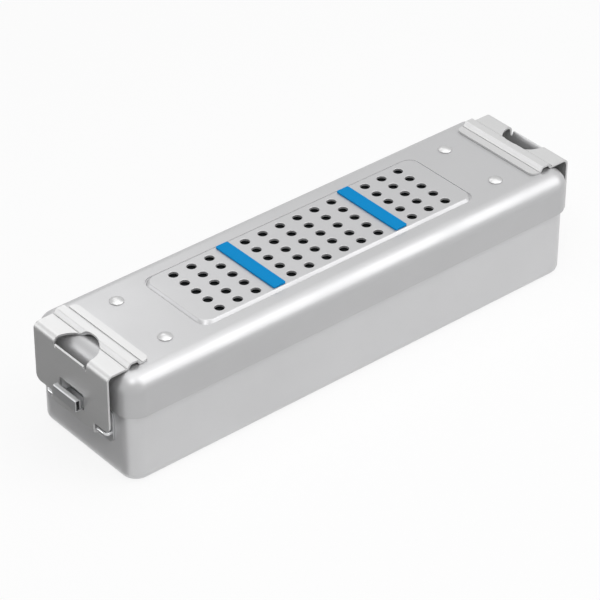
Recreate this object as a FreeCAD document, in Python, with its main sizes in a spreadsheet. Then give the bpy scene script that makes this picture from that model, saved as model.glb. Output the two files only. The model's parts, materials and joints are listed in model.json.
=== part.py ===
import FreeCAD, Part
import math
import os

import Sketcher

# Sterilization container for a small set of surgical instruments.
# Millimetres, +Z up, origin at the centre of the underside, +X along the length,
# -Y is the plain long front. Each piece of the +X end is drawn once and mirrored to -X.

NAME = "sterilization_container"
doc = FreeCAD.newDocument(NAME)

SIZES = (
    # Sheets and fits
    ("wall", 1.2, "drawn aluminium sheet of tub and lid"),
    ("steel", 1.0, "stainless sheet of latches, brackets and clips"),
    ("seat", 0.1, "clearance between pieces that bear on each other"),
    ("skirt_gap", 0.4, "gap between the lid's skirt and the tub"),
    ("hole_slack", 0.05, "radial clearance of a rivet or pin in its hole"),
    # Lid and tub
    ("lid_length", 256.4, "outside length of the lid"),
    ("lid_width", 70.0, "outside width of the lid"),
    ("lid_top", 54.9, "height of the lid's flat top"),
    ("lid_rim", 35.0, "height of the lower edge of the lid's skirt"),
    ("lid_corner", 9.5, "upright corner radius of the lid"),
    ("lid_edge", 8.0, "radius between the lid's top and its skirt"),
    ("rim_drop", 0.9, "the tub's rim lies this far below the foot of that radius"),
    ("tub_foot", 4.0, "radius between the tub's bottom and its walls"),
    # Raised perforated panel
    ("panel_end", 49.2, "from the lid's end to the raised panel's flat top"),
    ("panel_side", 13.8, "from the lid's long side to the raised panel's flat top"),
    ("panel_corner", 4.5, "corner radius of the panel"),
    ("panel_rise", 1.1, "height of the panel over the lid's top"),
    ("panel_slope", 36.0, "slope of the panel's sides from the upright, degrees"),
    ("hole_size", 4.5, "diameter of a steam hole"),
    ("pitch_x", 10.0, "hole pitch along the length"),
    ("pitch_y", 8.0, "hole pitch across"),
    ("hole_side", 5.0, "least from a hole's centre to the panel's long edge"),
    ("hole_end", 8.0, "least from a hole's centre to the panel's short edge"),
    ("mid_columns", 6, "columns in the middle group of holes"),
    # Colour strips between the groups of holes
    ("strip_width", 6.8, "width of a colour strip"),
    ("strip_inset", 0.9, "from the strip's end to the panel's edge"),
    ("strip_thick", 0.9, "thickness of a colour strip"),
    ("strip_corner", 0.8, "corner radius of a colour strip"),
    # Seal in the lid
    ("gasket_width", 5.1, "width of the silicone gasket"),
    ("frame_sheet", 0.8, "sheet of the frame that holds the gasket"),
    ("frame_flange", 4.0, "width of that frame's welded flange"),
    ("frame_drop", 5.6, "depth of that frame below the lid's sheet"),
    ("frame_bend", 1.6, "outer radius of that frame's bend"),
    ("frame_inner_corner", 1.5, "inner corner radius of that flange"),
    # Filter and its cover
    ("filter_thick", 0.4, "thickness of the filter sheet"),
    ("filter_lap", 1.0, "how far the filter passes the panel all round"),
    ("cover_side", 0.2, "the cover is this much wider than the filter, each side"),
    ("cover_rise", 0.8, "height of the cover's pressing rim"),
    ("cover_rim", 3.0, "width of the cover's pressing rim"),
    ("cover_corner", 5.0, "corner radius of filter and cover"),
    ("vent_length", 18.0, "length of a vent slot in the cover"),
    ("vent_width", 6.0, "width of a vent slot in the cover"),
    ("vent_pitch_x", 24.0, "vent pitch along the length"),
    ("vent_pitch_y", 11.0, "vent pitch across"),
    ("vent_corner", 2.0, "corner radius of a vent"),
    # Clips that carry the filter cover, two rivets each
    ("rivet_in", 33.2, "from the lid's end in to the rivets of a clip"),
    ("rivet_edge", 4.0, "from a clip's long edge in to its rivet"),
    ("rivet_shank", 3.0, "diameter of a clip rivet"),
    ("rivet_head", 6.6, "diameter of its domed head on the lid"),
    ("rivet_dome", 1.5, "height of that head"),
    ("rivet_tail", 4.6, "diameter of its formed tail"),
    ("tail_thick", 0.8, "height of that tail"),
    ("head_edge", 0.4, "height of the upright edge of a rivet's head"),
    ("tail_gap", 0.2, "gap between that tail and the clip's upright"),
    ("clip_inset", 2.2, "a clip is this much narrower than the cover, each side"),
    ("clip_end", 5.0, "from the rivets out to the clip's end"),
    ("clip_shelf", 6.5, "depth of the clip's pocket"),
    ("cover_bite", 3.0, "how far the cover lies on each clip's shelf"),
    # Hinge of a latch
    ("hinge_out", 2.2, "from the lid's end out to the hinge wire"),
    ("hinge_drop", 12.4, "from the lid's rim down to the hinge wire"),
    ("wire", 2.0, "diameter of the hinge wire"),
    ("wire_bend", 1.6, "bend radius of the wire's centre line"),
    ("wire_inset", 1.2, "from the bracket's side in to a leg of the hinge wire"),
    ("bracket_inset", 3.9, "a bracket is this much narrower than its latch, each side"),
    ("bracket_foot", 5.6, "from the hinge wire down to the bracket's lower edge"),
    ("bracket_gap", 1.0, "from the bracket's upper edge to the lid's rim"),
    ("bracket_corner", 3.5, "corner radius of the bracket"),
    ("stud_inset", 5.0, "from the bracket's side in to its rivets"),
    ("stud_down", 3.4, "from the bracket's upper edge down to its rivets"),
    ("stud_shank", 2.4, "diameter of a bracket rivet"),
    ("stud_head", 4.4, "diameter of its outer head"),
    ("stud_dome", 0.9, "height of its outer head"),
    ("stud_tail", 4.4, "diameter of its inner head"),
    # Seal eye for the tamper-evident seal
    ("eye_sheet", 0.6, "sheet of the seal eye"),
    ("eye_length", 15.8, "length of the seal eye"),
    ("eye_depth", 2.8, "depth of the eye's tube"),
    ("eye_height", 5.8, "height of the eye's tube"),
    ("eye_up", 7.0, "underside of the eye above the hinge wire"),
    ("eye_stand", 1.15, "from the latch plate out to the eye's tube"),
    ("eye_foot", 4.4, "height of the eye's welded foot"),
    ("eye_room", 0.6, "room round the eye in the latch's slot"),
    ("slot_corner", 0.8, "corner radius of that slot"),
    # Latch
    ("latch_inset", 9.1, "a latch is this much narrower than the lid, each side"),
    ("knuckle_length", 29.4, "length of the rolled knuckle"),
    ("knuckle_turn", 270.0, "how far the sheet is rolled round the wire, degrees"),
    ("skirt_edge", 4.1, "lower edge of the latch's wings above the hinge wire"),
    ("latch_corner", 3.0, "corner radius of the latch's wings and lip"),
    ("latch_bend", 2.0, "inner radius of the bend over the lid"),
    ("lip_reach", 18.3, "from the lid's end in to the latch's lip"),
    ("bead_in", 13.5, "from the lid's end in to the bead's inner foot"),
    ("bead_out", 6.7, "from the lid's end in to the bead's outer foot"),
    ("bead_rise", 1.9, "height of the stiffening bead"),
    ("bead_slope", 1.3, "width of the bead's sloping side"),
    ("bead_round", 0.6, "radius along the bead's crest"),
    ("window_size", 23.0, "diameter of the finger window"),
    ("window_in", 1.45, "from the latch's outer face in to the window's centre"),
    ("sill_drop", 1.2, "from the lid's top down to the window's sill"),
    ("pull_gap", 1.3, "from the side of the window in to the pull lip"),
    ("pull_depth", 2.5, "depth of the cuts beside the pull lip"),
    ("pull_bend", 2.5, "outer radius of the pull lip"),
    ("pull_turn", 45.0, "how far the pull lip is bent out, degrees"),
)

sheet = doc.addObject("Spreadsheet::Sheet", "Sizes")
for row, (alias, value, meaning) in enumerate(SIZES, start=1):
    sheet.set("A%d" % row, meaning)
    sheet.set("B%d" % row, str(value))
    sheet.setAlias("B%d" % row, alias)
doc.recompute()


def size(text):
    """Expression in which every alias of the sheet is written out in full."""
    words = []
    word = ""
    for letter in text + " ":
        if letter.isalnum() or letter in "_.":
            word += letter
            continue
        words.append("Sizes." + word if word in ALIASES else word)
        words.append(letter)
        word = ""
    return "".join(words).strip()


ALIASES = {alias for alias, _, _ in SIZES}


def value_of(text):
    """Number that an expression of sizes gives, in millimetres."""
    found = sheet.evalExpression(size(text))
    return float(getattr(found, "Value", found))


# Places that several pieces share, as expressions of the sizes above.
LID_ROOF = "(lid_top - wall)"
TUB_RIM = "(lid_top - lid_edge - rim_drop)"
TUB_END = "(lid_length / 2 - wall - skirt_gap)"
TUB_SIDE = "(lid_width / 2 - wall - skirt_gap)"
TUB_CORNER = "(lid_corner - wall - skirt_gap)"
PANEL_X = "(lid_length / 2 - panel_end)"
PANEL_Y = "(lid_width / 2 - panel_side)"
PANEL_TOP = "(lid_top + panel_rise)"
PANEL_FOOT = "(panel_rise * tan(panel_slope * 1 deg))"
# The panel's underside lies this far out of its top's edge, at the sheet's thickness below.
SHEET_IN = "(wall * tan(panel_slope * 1 deg) - wall / cos(panel_slope * 1 deg))"
STRIP_X = "((mid_columns + 1) / 2 * pitch_x)"
END_COLUMNS = f"floor(({PANEL_X} - {STRIP_X} - hole_end) / pitch_x)"
HOLE_ROWS = f"(floor(2 * ({PANEL_Y} - hole_side) / pitch_y) + 1)"
GASKET_END = "(lid_length / 2 - wall - 2 * seat)"
GASKET_SIDE = "(lid_width / 2 - wall - 2 * seat)"
GASKET_CORNER = "(lid_corner - wall - 2 * seat)"
FRAME_END = f"({GASKET_END} - gasket_width - seat)"
FRAME_SIDE = f"({GASKET_SIDE} - gasket_width - seat)"
FRAME_CORNER = f"({GASKET_CORNER} - gasket_width - seat)"
FILTER_END = f"({PANEL_X} + {PANEL_FOOT} + filter_lap)"
FILTER_SIDE = f"({PANEL_Y} + {PANEL_FOOT} + filter_lap)"
FILTER_LOW = f"({LID_ROOF} - seat - filter_thick)"
RIVET_X = "(lid_length / 2 - rivet_in)"
RISER_IN = f"({RIVET_X} - rivet_tail / 2 - tail_gap - steel)"
SHELF_IN = f"({RISER_IN} - clip_shelf)"
COVER_END = f"({SHELF_IN} + cover_bite)"
COVER_SIDE = f"({FILTER_SIDE} + cover_side)"
VENT_COLUMNS = f"(2 * floor(({FILTER_END} - cover_rim - vent_length / 2) / vent_pitch_x) + 1)"
VENT_ROWS = f"(floor((2 * ({FILTER_SIDE} - cover_rim) - vent_width) / vent_pitch_y) + 1)"
CLIP_SIDE = f"({COVER_SIDE} - clip_inset)"
RIVET_Y = f"({CLIP_SIDE} - rivet_edge)"
COVER_TOP = f"({FILTER_LOW} - seat - cover_rise)"
SHELF_TOP = f"({COVER_TOP} - steel - seat)"
HINGE_X = "(lid_length / 2 + hinge_out)"
HINGE_Z = "(lid_rim - hinge_drop)"
KNUCKLE_IN = "(wire / 2 + hole_slack)"
PLATE_IN = f"({HINGE_X} + {KNUCKLE_IN})"
PLATE_OUT = f"({PLATE_IN} + steel)"
WING_LOW = f"({HINGE_Z} + skirt_edge)"
LATCH_SIDE = "(lid_width / 2 - latch_inset)"
LATCH_LOW = "(lid_top + seat)"
LATCH_TOP = "(lid_top + seat + steel)"
PULL_ROOT = "(lid_top - sill_drop - pull_depth)"
BRACKET_OUT = f"({TUB_END} + steel)"
BRACKET_SIDE = f"({LATCH_SIDE} - bracket_inset)"
BRACKET_LOW = f"({HINGE_Z} - bracket_foot)"
BRACKET_HIGH = "(lid_rim - bracket_gap)"
STUD_Y = f"({BRACKET_SIDE} - stud_inset)"
STUD_Z = f"({BRACKET_HIGH} - stud_down)"
EYE_LOW = f"({HINGE_Z} + eye_up)"
EYE_HIGH = f"({EYE_LOW} + eye_height)"
EYE_BACK = f"({PLATE_OUT} + eye_stand)"
EYE_FRONT = f"({EYE_BACK} + eye_depth)"
SLOT_LOW = f"({EYE_LOW} - eye_room)"
# The slot clears the eye's outer upper edge as the latch swings past it.
EYE_SWEEP = f"sqrt(({EYE_FRONT} - {HINGE_X})^2 + ({EYE_HIGH} - {HINGE_Z})^2)"
SLOT_HIGH = f"({HINGE_Z} + {EYE_SWEEP} + eye_room)"

START, END, CENTRE = range(1, 4)
ORIGIN = -1
H_AXIS = "H_Axis"
V_AXIS = "V_Axis"


def new_body(label):
    """Part Design body, named for its piece."""
    body = doc.addObject("PartDesign::Body", label)
    body.Label = label
    return body


def new_sketch(body, name, role="XY_Plane", offset="0", shift=("0", "0")):
    """Sketch on one of the body's own origin planes, moved by offset along its normal
    and by shift along its own two axes."""
    sketch = body.newObject("Sketcher::SketchObject", body.Label + "_" + name)
    plane = next(item for item in body.Origin.OriginFeatures if item.Role == role)
    sketch.AttachmentSupport = (plane, [""])
    sketch.MapMode = "FlatFace"
    for axis, text in zip("xyz", (*shift, offset)):
        if text != "0":
            sketch.setExpression("AttachmentOffset.Base." + axis, size(text))
    return sketch


def bind(sketch, constraint, text):
    """Add a dimension to the sketch and bind it to an expression of sizes."""
    index = sketch.addConstraint(Sketcher.Constraint(*constraint, value_of(text)))
    sketch.setExpression("Constraints[%d]" % index, size(text))


def place_point(sketch, geometry, position, x, y):
    """Fix a point of the sketch at x, y, both given as expressions."""
    for kind, text in (("DistanceX", x), ("DistanceY", y)):
        bind(sketch, (kind, ORIGIN, START, geometry, position), text)


def draw_polygon(sketch, points):
    """Closed outline through points, each a pair of expressions."""
    places = [FreeCAD.Vector(value_of(x), value_of(y), 0) for x, y in points]
    lines = []
    for index, place in enumerate(places):
        following = places[(index + 1) % len(places)]
        lines.append(sketch.addGeometry(Part.LineSegment(place, following), False))
    for index, line in enumerate(lines):
        following = lines[(index + 1) % len(lines)]
        sketch.addConstraint(Sketcher.Constraint("Coincident", line, END, following, START))
    for line, (x, y) in zip(lines, points):
        place_point(sketch, line, START, x, y)


def draw_box(sketch, left, right, low, high):
    """Rectangle between two uprights and two levels, all given as expressions."""
    draw_polygon(sketch, ((left, low), (right, low), (right, high), (left, high)))


def draw_rounded(sketch, half_x, half_y, radius):
    """Rounded rectangle about the origin, its sizes given as expressions."""
    reach_x, reach_y, round_off = value_of(half_x), value_of(half_y), value_of(radius)
    quarter = math.pi / 2
    arcs = []
    for turn, (sign_x, sign_y) in enumerate(((1, 1), (-1, 1), (-1, -1), (1, -1))):
        centre = FreeCAD.Vector(sign_x * (reach_x - round_off), sign_y * (reach_y - round_off), 0)
        circle = Part.Circle(centre, FreeCAD.Vector(0, 0, 1), round_off)
        arc = sketch.addGeometry(Part.ArcOfCircle(circle, turn * quarter, (turn + 1) * quarter), False)
        arcs.append(arc)
        place_point(sketch, arc, CENTRE, "%d * (%s - %s)" % (sign_x, half_x, radius),
                    "%d * (%s - %s)" % (sign_y, half_y, radius))
        bind(sketch, ("Radius", arc), radius)
        first, last = ("Horizontal", "Vertical") if turn % 2 == 0 else ("Vertical", "Horizontal")
        sketch.addConstraint(Sketcher.Constraint(first, arc, CENTRE, arc, START))
        sketch.addConstraint(Sketcher.Constraint(last, arc, CENTRE, arc, END))
    for index, arc in enumerate(arcs):
        following = arcs[(index + 1) % len(arcs)]
        ends = sketch.getPoint(arc, END), sketch.getPoint(following, START)
        line = sketch.addGeometry(Part.LineSegment(*ends), False)
        sketch.addConstraint(Sketcher.Constraint("Coincident", arc, END, line, START))
        sketch.addConstraint(Sketcher.Constraint("Coincident", line, END, following, START))


def draw_circle(sketch, x, y, diameter):
    """Circle with its centre and diameter given as expressions."""
    centre = FreeCAD.Vector(value_of(x), value_of(y), 0)
    circle = Part.Circle(centre, FreeCAD.Vector(0, 0, 1), value_of(diameter) / 2)
    index = sketch.addGeometry(circle, False)
    place_point(sketch, index, CENTRE, x, y)
    bind(sketch, ("Radius", index), "(%s) / 2" % diameter)


def add_feature(body, kind, name, **properties):
    """Part Design feature of the body; text values are bound as expressions of sizes."""
    feature = body.newObject("PartDesign::" + kind, body.Label + "_" + name)
    for key, setting in properties.items():
        if isinstance(setting, str) and key in ("Length", "Length2", "Value", "Radius", "Angle",
                                                "Size", "TaperAngle"):
            feature.setExpression(key, size(setting))
        else:
            setattr(feature, key, setting)
    doc.recompute()
    return feature


def pad(body, sketch, length, name, centred=False, reverse=False, **more):
    """Pad a sketch to a length, on one side of it or half on each side."""
    side = "Symmetric" if centred else "One side"
    return add_feature(body, "Pad", name, Profile=sketch, SideType=side, Length=length,
                       Reversed=reverse, **more)


def pocket(body, sketch, length, name, centred=False, reverse=False):
    """Cut a sketch to a length; the solid has to lose volume."""
    before = body.Shape.Volume
    side = "Symmetric" if centred else "One side"
    feature = add_feature(body, "Pocket", name, Profile=sketch, SideType=side, Length=length,
                          Reversed=reverse)
    if not feature.Shape.Volume < before:
        raise RuntimeError(feature.Label + " cuts nothing")
    return feature


def edges_where(shape, test):
    """Names of the edges whose two ends and middle all pass a test."""
    names = []
    for index, edge in enumerate(shape.Edges, start=1):
        middle = edge.valueAt((edge.FirstParameter + edge.LastParameter) / 2)
        points = [vertex.Point for vertex in edge.Vertexes] + [middle]
        if all(test(point) for point in points):
            names.append("Edge%d" % index)
    return names


def near(number, text):
    """True where a coordinate lies at the place that an expression gives."""
    return abs(number - value_of(text)) < 0.01


def fillet(body, radius, name, test):
    """Round the body's edges that pass a test."""
    base = body.Tip
    names = edges_where(base.Shape, test)
    if not names:
        raise RuntimeError(body.Label + " has no edge for " + name)
    return add_feature(body, "Fillet", name, Base=(base, names), Radius=radius)


def pattern(body, feature, sketch, name, columns, step_x, rows, step_y):
    """Repeat a feature in columns and rows along its sketch's two axes."""
    repeat = add_feature(body, "LinearPattern", name, Originals=[feature],
                         Direction=(sketch, [H_AXIS]), Direction2=(sketch, [V_AXIS]),
                         Mode="Spacing", Mode2="Spacing")
    repeat.setExpression("Occurrences", size(columns))
    repeat.setExpression("Offset", size(step_x))
    repeat.setExpression("Occurrences2", size(rows))
    repeat.setExpression("Offset2", size(step_y))
    body.Tip = repeat
    doc.recompute()
    return repeat


def mirror_pair(body, label):
    """The same piece at the -X end."""
    other = doc.addObject("Part::Mirroring", label)
    other.Label = label
    other.Source = body
    other.Normal = (1, 0, 0)
    doc.recompute()
    return other


def shell_of(body, name, low, high, half_x, half_y, corner, edge, edge_level):
    """Block with rounded uprights and one rounded rim, the outside of a drawn pan."""
    outline = new_sketch(body, name + "_outline", offset=low)
    draw_rounded(outline, half_x, half_y, corner)
    pad(body, outline, "%s - %s" % (high, low), name)
    return fillet(body, edge, name + "_edge", lambda point: near(point.z, edge_level))


def ring(body, name, low, high, outer, width, inner_corner):
    """Band of a given width inside a rounded rectangle, outer = half length, half width, corner."""
    outline = new_sketch(body, name + "_outline", offset=low)
    draw_rounded(outline, *outer)
    inner = ["(%s - %s)" % (text, width) for text in outer[:2]]
    draw_rounded(outline, *inner, inner_corner)
    return pad(body, outline, "%s - %s" % (high, low), name)


def hollow(body, name, open_level, thickness):
    """Turn the block into drawn sheet, open at one level."""
    base = body.Tip
    mouth = ["Face%d" % index for index, face in enumerate(base.Shape.Faces, start=1)
             if near(face.BoundBox.ZMin, open_level) and near(face.BoundBox.ZMax, open_level)]
    before = base.Shape.Volume
    feature = add_feature(body, "Thickness", name, Base=(base, mouth), Value=thickness,
                          Reversed=True, Mode="Skin", Join="Intersection")
    if not feature.Shape.Volume < before:
        raise RuntimeError(feature.Label + " is not hollow")
    return feature


def drill(body, name, centres, diameter, depth, role="XY_Plane", offset="0"):
    """Round holes that run depth in all, half on each side of their sketch."""
    holes = new_sketch(body, name + "_outline", role, offset)
    for x, y in centres:
        draw_circle(holes, x, y, diameter)
    return pocket(body, holes, depth, name, centred=True)


def draw_rivet(sketch, place, shank, tail, head, dome, levels):
    """Half section of a rivet with a domed head: place turns a radius and a level into a point
    of the sketch, and levels are the tail's end, the tail's seat, the head's seat."""
    tail_end, tail_seat, head_seat = levels
    shank_out, tail_out, head_out = ["(%s / 2)" % text for text in (shank, tail, head)]
    crown, shoulder = "(%s + %s)" % (head_seat, dome), "(%s + head_edge)" % head_seat
    corners = [place(radius, level) for radius, level in (
        ("0", crown), ("0", tail_end), (tail_out, tail_end), (tail_out, tail_seat),
        (shank_out, tail_seat), (shank_out, head_seat), (head_out, head_seat),
        (head_out, shoulder))]
    places = [FreeCAD.Vector(value_of(x), value_of(y), 0) for x, y in corners]
    lines = [sketch.addGeometry(Part.LineSegment(*ends), False) for ends in zip(places, places[1:])]
    for line, following in zip(lines, lines[1:]):
        sketch.addConstraint(Sketcher.Constraint("Coincident", line, END, following, START))
    for line, corner in zip(lines, corners):
        place_point(sketch, line, START, *corner)
    place_point(sketch, lines[-1], END, *corners[-1])
    rise, reach = value_of(dome) - value_of("head_edge"), value_of(head_out)
    bend = (rise ** 2 + reach ** 2) / (2 * rise)
    lean = math.asin(reach / bend) / 2
    radius, level = bend * math.sin(lean), bend * (math.cos(lean) - 1)
    middle = place(repr(radius), "(%s + %r)" % (crown, level))
    through = FreeCAD.Vector(value_of(middle[0]), value_of(middle[1]), 0)
    cap = sketch.addGeometry(Part.Arc(places[-1], through, places[0]), False)
    ends = {START: sketch.getPoint(cap, START), END: sketch.getPoint(cap, END)}
    first = START if (ends[START] - places[0]).Length < (ends[END] - places[0]).Length else END
    sketch.addConstraint(Sketcher.Constraint("Coincident", cap, first, lines[0], START))
    sketch.addConstraint(Sketcher.Constraint("Coincident", cap, START + END - first,
                                             lines[-1], END))
    across = "DistanceX" if place("0", "1")[0] == "0" else "DistanceY"
    bind(sketch, (across, ORIGIN, START, cap, CENTRE), "0")


def turn(body, sketch, axis, angle, name):
    """Solid of revolution about one of the sketch's axes."""
    return add_feature(body, "Revolution", name, Profile=sketch,
                       ReferenceAxis=(sketch, [axis]), Angle=angle)


def twin(body, feature, name):
    """Second copy of a feature across the plane y = 0."""
    plane = next(item for item in body.Origin.OriginFeatures if item.Role == "XZ_Plane")
    copy = add_feature(body, "Mirrored", name, Originals=[feature], MirrorPlane=(plane, [""]))
    body.Tip = copy
    doc.recompute()
    return copy


def make_tub():
    """Deep-drawn aluminium tub with a plain upright rim."""
    body = new_body("base_tub")
    shell_of(body, "block", "0", TUB_RIM, TUB_END, TUB_SIDE, TUB_CORNER, "tub_foot", "0")
    hollow(body, "shell", TUB_RIM, "wall")
    studs = [(STUD_Y, STUD_Z), ("-" + STUD_Y, STUD_Z)]
    drill(body, "stud_holes", studs, "stud_shank + 2 * hole_slack", "lid_length", "YZ_Plane")
    return body


def make_lid():
    """Drawn aluminium lid with a deep skirt and a raised, perforated panel."""
    body = new_body("lid_shell")
    shell_of(body, "block", "lid_rim", "lid_top", "lid_length / 2", "lid_width / 2",
             "lid_corner", "lid_edge", "lid_top")
    hollow(body, "shell", "lid_rim", "wall")
    levels = (("AdditiveLoft", "panel", "lid_top", PANEL_FOOT, PANEL_TOP, "0"),
              ("SubtractiveLoft", "panel_inside", LID_ROOF, f"({SHEET_IN} + {PANEL_FOOT})",
               f"({PANEL_TOP} - wall)", SHEET_IN))
    for kind, name, low, foot_out, high, crest_out in levels:
        outlines = []
        for place, level, out in (("_foot", low, foot_out), ("_crest", high, crest_out)):
            outlines.append(new_sketch(body, name + place, offset=level))
            draw_rounded(outlines[-1], f"({PANEL_X} + {out})", f"({PANEL_Y} + {out})",
                         f"(panel_corner + {out})")
        add_feature(body, kind, name, Profile=outlines[0], Sections=[outlines[1]], Ruled=True)
    groups = (("left_holes", END_COLUMNS, f"(-{STRIP_X} - {END_COLUMNS} * pitch_x)"),
              ("middle_holes", "mid_columns", "(-(mid_columns - 1) / 2 * pitch_x)"),
              ("right_holes", END_COLUMNS, f"({STRIP_X} + pitch_x)"))
    first_y = f"(-({HOLE_ROWS} - 1) / 2 * pitch_y)"
    for name, columns, first_x in groups:
        outline = new_sketch(body, name + "_outline", offset=PANEL_TOP, shift=(first_x, first_y))
        draw_circle(outline, "0", "0", "hole_size")
        hole = pocket(body, outline, "4 * wall", name, centred=True)
        pattern(body, hole, outline, name + "_grid", columns, "pitch_x", HOLE_ROWS, "pitch_y")
    rivets = [(x + RIVET_X, y + RIVET_Y) for x in ("", "-") for y in ("", "-")]
    drill(body, "rivet_holes", rivets, "rivet_shank + 2 * hole_slack", "4 * wall", offset="lid_top")
    return body


def make_strip():
    """Flat plastic marking strip laid across the panel between two groups of holes."""
    body = new_body("colour_strip_right")
    outline = new_sketch(body, "outline", offset=PANEL_TOP, shift=(STRIP_X, "0"))
    draw_rounded(outline, "(strip_width / 2)", f"({PANEL_Y} - strip_inset)", "strip_corner")
    pad(body, outline, "strip_thick", "strip")
    return body


def make_gasket():
    """Silicone gasket, rounded to nest in the corner between the lid's roof and skirt."""
    body = new_body("lid_gasket")
    low, high = f"({TUB_RIM} + seat)", f"({LID_ROOF} - 2 * seat)"
    shell_of(body, "block", low, high, GASKET_END, GASKET_SIDE, GASKET_CORNER,
             "lid_edge - wall - 2 * seat", high)
    opening = new_sketch(body, "opening", offset=low)
    draw_rounded(opening, f"({GASKET_END} - gasket_width)", f"({GASKET_SIDE} - gasket_width)",
                 f"({GASKET_CORNER} - gasket_width)")
    pocket(body, opening, f"2 * ({high} - {low})", "mouth", centred=True)
    return body


def make_frame():
    """Angle-section frame welded under the lid, which keeps the gasket in its corner."""
    body = new_body("gasket_frame")
    outer = (FRAME_END, FRAME_SIDE, FRAME_CORNER)
    ring(body, "leg", f"({LID_ROOF} - frame_drop)", LID_ROOF, outer, "frame_sheet",
         f"({FRAME_CORNER} - frame_sheet)")
    ring(body, "flange", f"({LID_ROOF} - frame_sheet)", LID_ROOF, outer,
         "(frame_sheet + frame_flange)", "frame_inner_corner")
    inner_end, inner_side = f"({FRAME_END} - frame_bend)", f"({FRAME_SIDE} - frame_bend)"
    fillet(body, "frame_bend", "bend", lambda point: near(point.z, LID_ROOF)
           and (abs(point.x) > value_of(inner_end) or abs(point.y) > value_of(inner_side)))
    return body


def make_filter():
    """Exchangeable filter sheet that covers the perforated panel from below."""
    body = new_body("filter_sheet")
    outline = new_sketch(body, "outline", offset=FILTER_LOW)
    draw_rounded(outline, FILTER_END, FILTER_SIDE, "cover_corner")
    pad(body, outline, "filter_thick", "sheet")
    return body


def make_cover():
    """Vented steel cover that presses the filter to the lid with a raised rim."""
    body = new_body("filter_cover")
    outline = new_sketch(body, "outline", offset=f"({COVER_TOP} - steel)")
    draw_rounded(outline, COVER_END, COVER_SIDE, "cover_corner")
    pad(body, outline, "steel", "plate")
    ring(body, "rim", COVER_TOP, f"({COVER_TOP} + cover_rise)",
         (FILTER_END, FILTER_SIDE, "cover_corner"), "cover_rim", "(cover_corner - cover_rim)")
    first = (f"(-({VENT_COLUMNS} - 1) / 2 * vent_pitch_x)",
             f"(-({VENT_ROWS} - 1) / 2 * vent_pitch_y)")
    slot = new_sketch(body, "vent_outline", offset=COVER_TOP, shift=first)
    draw_rounded(slot, "(vent_length / 2)", "(vent_width / 2)", "vent_corner")
    vent = pocket(body, slot, "4 * steel", "vent", centred=True)
    pattern(body, vent, slot, "vents", VENT_COLUMNS, "vent_pitch_x", VENT_ROWS, "vent_pitch_y")
    return body


def make_clip():
    """Z-shaped clip riveted under the lid; its shelf carries one end of the filter cover."""
    body = new_body("filter_clip_right")
    section = new_sketch(body, "section", "XZ_Plane")
    low, out = f"({SHELF_TOP} - steel)", f"({RIVET_X} + clip_end)"
    draw_polygon(section, ((SHELF_IN, low), (f"({RISER_IN} + steel)", low),
                           (f"({RISER_IN} + steel)", f"({LID_ROOF} - steel)"),
                           (out, f"({LID_ROOF} - steel)"), (out, LID_ROOF), (RISER_IN, LID_ROOF),
                           (RISER_IN, SHELF_TOP), (SHELF_IN, SHELF_TOP)))
    pad(body, section, f"2 * {CLIP_SIDE}", "strip", centred=True)
    holes = [(RIVET_X, RIVET_Y), (RIVET_X, "-" + RIVET_Y)]
    drill(body, "holes", holes, "rivet_shank + 2 * hole_slack", "4 * steel", offset=LID_ROOF)
    return body


def make_clip_rivets():
    """Two dome-headed rivets that hold a clip; their heads stand on the lid's top."""
    body = new_body("clip_rivets_right")
    section = new_sketch(body, "section", "XZ_Plane", RIVET_Y, (RIVET_X, "0"))
    seat_level = f"({LID_ROOF} - steel)"
    draw_rivet(section, lambda radius, level: (radius, level), "rivet_shank", "rivet_tail",
               "rivet_head", "rivet_dome", (f"({seat_level} - tail_thick)", seat_level, "lid_top"))
    twin(body, turn(body, section, V_AXIS, "360", "rivet"), "pair")
    return body


def make_bracket():
    """Steel plate on the tub's end wall that carries the hinge wire and the seal eye."""
    body = new_body("latch_bracket_right")
    middle = f"(({BRACKET_LOW} + {BRACKET_HIGH}) / 2)"
    outline = new_sketch(body, "outline", "YZ_Plane", TUB_END, ("0", middle))
    draw_rounded(outline, BRACKET_SIDE, f"(({BRACKET_HIGH} - {BRACKET_LOW}) / 2)",
                 "bracket_corner")
    pad(body, outline, "steel", "plate")
    studs = [(STUD_Y, STUD_Z), ("-" + STUD_Y, STUD_Z)]
    drill(body, "holes", studs, "stud_shank + 2 * hole_slack", "4 * steel", "YZ_Plane", TUB_END)
    return body


def make_bracket_rivets():
    """Two rivets through the bracket and the tub's wall, flat head inside."""
    body = new_body("bracket_rivets_right")
    section = new_sketch(body, "section", "XZ_Plane", STUD_Y, ("0", STUD_Z))
    inner = f"({TUB_END} - wall)"
    draw_rivet(section, lambda radius, level: (level, radius), "stud_shank", "stud_tail",
               "stud_head", "stud_dome", (f"({inner} - tail_thick)", inner, BRACKET_OUT))
    twin(body, turn(body, section, H_AXIS, "360", "rivet"), "pair")
    return body


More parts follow.
